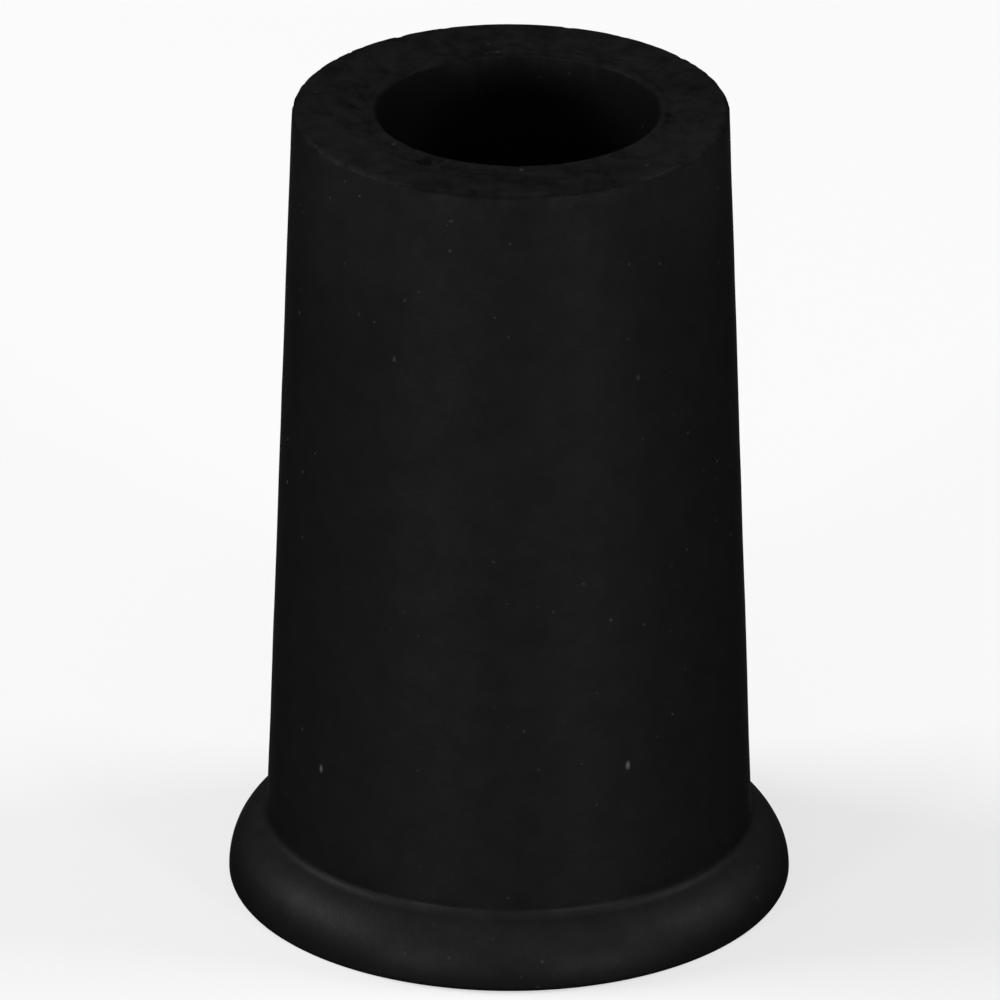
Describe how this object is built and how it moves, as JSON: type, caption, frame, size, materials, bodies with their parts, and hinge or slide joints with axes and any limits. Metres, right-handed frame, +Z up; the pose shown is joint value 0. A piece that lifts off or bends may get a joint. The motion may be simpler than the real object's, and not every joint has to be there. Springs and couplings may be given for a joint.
{
  "type": "rubber cane tip",
  "caption": "One-piece moulded rubber tip with a tapered wall, a blind round socket for a shaft end and a rounded foot with a grooved sole.",
  "frame": {"origin": "centre of the flat sole, on the surface the tip stands on", "axes": "+Z up along the socket, out of its mouth; +X towards the side that the socket is set off to, where the wall is thinnest"},
  "size_m": [0.0384, 0.0384, 0.0569],
  "materials": {
    "rubber": "matt black moulded rubber"
  },
  "bodies": {
    "root": {"cane_tip": "rubber"}
  },
  "joints": []
}
